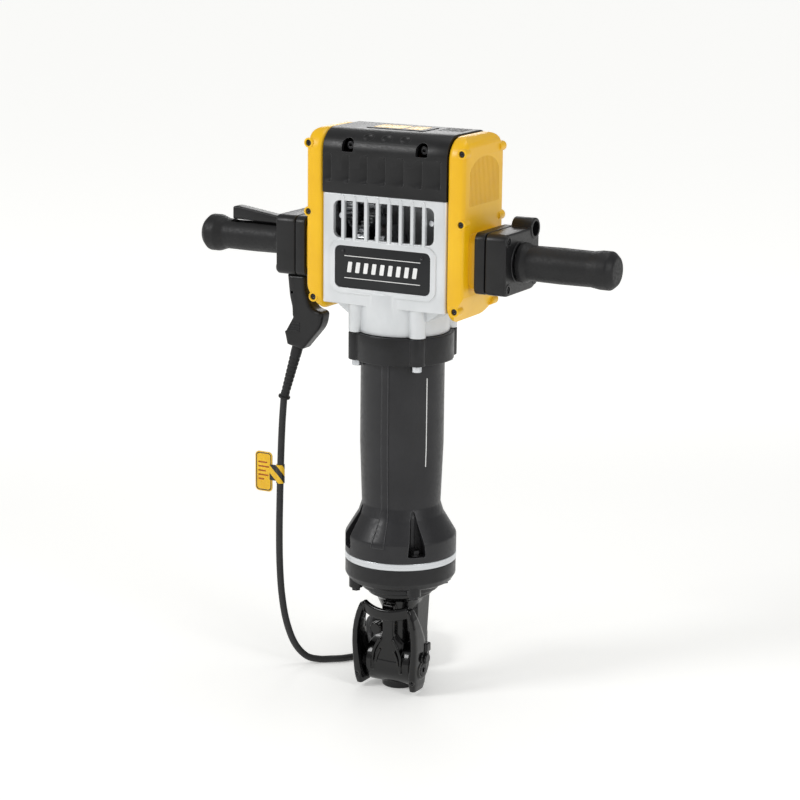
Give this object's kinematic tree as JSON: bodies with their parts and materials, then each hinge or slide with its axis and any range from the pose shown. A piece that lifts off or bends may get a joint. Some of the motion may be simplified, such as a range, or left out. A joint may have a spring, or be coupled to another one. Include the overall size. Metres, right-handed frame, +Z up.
{
  "type": "demolition hammer",
  "caption": "Heavy electric demolition hammer for hex-shank breaker steels, with two side grips, paddle trigger, swing retainer and mains cord.",
  "frame": {"origin": "on the tool axis, at the lower end of the nose, where the hammer stands", "axes": "+Z up along the tool axis, X along the two grips, -Y towards the side with the nameplate"},
  "size_m": [0.61, 0.3909, 0.762],
  "materials": {
    "silver_cast": "silver painted casting",
    "barrel_cast": "dark textured paint on cast aluminium",
    "flange_iron": "black painted cast iron",
    "bail_forging": "gloss black painted forging",
    "black_plastic": "fine textured moulding",
    "nameplate": "satin plate",
    "yellow_plastic": "satin moulding",
    "tag_plastic": "satin sheet",
    "steel": "machined steel",
    "piston_alloy": "turned alloy",
    "laminations": "laminated steel with copper windings",
    "commutator": "turned copper bars",
    "grip_rubber": "matt moulded rubber",
    "bumper_rubber": "matt moulded rubber",
    "cord_rubber": "matt rubber sheath"
  },
  "bodies": {
    "housing": {"motor_housing": "silver_cast", "spacer_ring": "silver_cast", "bearing_plate_left": "silver_cast", "bearing_plate_right": "silver_cast", "barrel_housing": "barrel_cast", "clamp_flange": "barrel_cast", "front_flange": "flange_iron", "nose_housing": "flange_iron", "top_cover": "black_plastic", "handle_base_left": "black_plastic", "handle_base_right": "black_plastic", "handle_box_left": "black_plastic", "handle_box_right": "black_plastic", "cord_guard_arm": "black_plastic", "nameplate": "nameplate", "side_cover_left": "yellow_plastic", "side_cover_right": "yellow_plastic", "cord_tag": "tag_plastic", "cylinder_sleeve": "steel", "front_guide": "steel", "tool_sleeve": "steel", "handle_pin_left": "steel", "handle_pin_right": "steel", "detent_cap": "steel", "barrel_bolt_1": "steel", "barrel_bolt_2": "steel", "barrel_bolt_3": "steel", "barrel_bolt_4": "steel", "flange_bolt_1": "steel", "flange_bolt_2": "steel", "flange_bolt_3": "steel", "flange_bolt_4": "steel", "stator": "laminations", "bumper": "bumper_rubber", "strain_relief": "cord_rubber", "power_cord": "cord_rubber", "cord_hank": "cord_rubber", "plug": "cord_rubber", "power_cord_tail": "cord_rubber"},
    "retainer": {"retainer_bail": "bail_forging", "locking_shaft": "steel"},
    "armature": {"armature_shaft": "steel", "armature_core": "laminations", "commutator": "commutator", "cooling_fan": "black_plastic"},
    "counter": {"countershaft": "steel"},
    "crank": {"crankshaft": "steel", "crank_gear": "steel"},
    "piston_assembly": {"piston": "piston_alloy", "wrist_pin": "steel"},
    "rod": {"connecting_rod": "steel", "crank_pin": "steel"},
    "ram": {"ram": "steel"},
    "beat": {"beat_piece": "steel"},
    "handle_left": {"grip_core_left": "steel", "grip_left": "grip_rubber", "switch_body": "black_plastic"},
    "handle_right": {"grip_core_right": "steel", "grip_right": "grip_rubber"},
    "trigger": {"trigger_paddle": "black_plastic"}
  },
  "joints": [
    {"name": "retainer_swing", "type": "hinge", "parent": "housing", "child": "retainer", "pos_m": [0, -0.026, 0.036], "axis": [1, 0, 0], "range_deg": [0, 90]},
    {"name": "handle_swing_left", "type": "hinge", "parent": "housing", "child": "handle_left", "pos_m": [-0.1566, 0, 0.5997], "axis": [0, 1, 0], "range_deg": [-3, 3], "stiffness_Nm_per_rad": 300},
    {"name": "handle_swing_right", "type": "hinge", "parent": "housing", "child": "handle_right", "pos_m": [0.1566, 0, 0.5997], "axis": [0, 1, 0], "range_deg": [-3, 3], "stiffness_Nm_per_rad": 300},
    {"name": "trigger_press", "type": "hinge", "parent": "handle_left", "child": "trigger", "pos_m": [-0.1861, 0, 0.6242], "axis": [0, -1, 0], "range_deg": [0, 7], "stiffness_Nm_per_rad": 1.5, "springref_deg": -6.88},
    {"name": "armature_spin", "type": "hinge", "parent": "housing", "child": "armature", "pos_m": [0, 0, 0.7047], "axis": [1, 0, 0], "continuous": true},
    {"name": "counter_spin", "type": "hinge", "parent": "housing", "child": "counter", "pos_m": [0, 0, 0.6597], "axis": [1, 0, 0], "continuous": true},
    {"name": "crank_spin", "type": "hinge", "parent": "housing", "child": "crank", "pos_m": [0, 0, 0.5997], "axis": [1, 0, 0], "continuous": true},
    {"name": "piston_slide", "type": "slide", "parent": "housing", "child": "piston_assembly", "axis": [0, 0, 1], "range_m": [0, 0.044]},
    {"name": "rod_swing", "type": "hinge", "parent": "piston_assembly", "child": "rod", "pos_m": [0, 0, 0.4727], "axis": [1, 0, 0], "range_deg": [-12, 12]},
    {"name": "ram_slide", "type": "slide", "parent": "housing", "child": "ram", "axis": [0, 0, 1], "range_m": [0, 0.06]},
    {"name": "beat_slide", "type": "slide", "parent": "housing", "child": "beat", "axis": [0, 0, 1], "range_m": [0, 0.012]}
  ],
  "couplings": [
    {"joint": "counter_spin", "follows": "armature_spin", "ratio": -0.25},
    {"joint": "crank_spin", "follows": "armature_spin", "ratio": 0.083333}
  ]
}
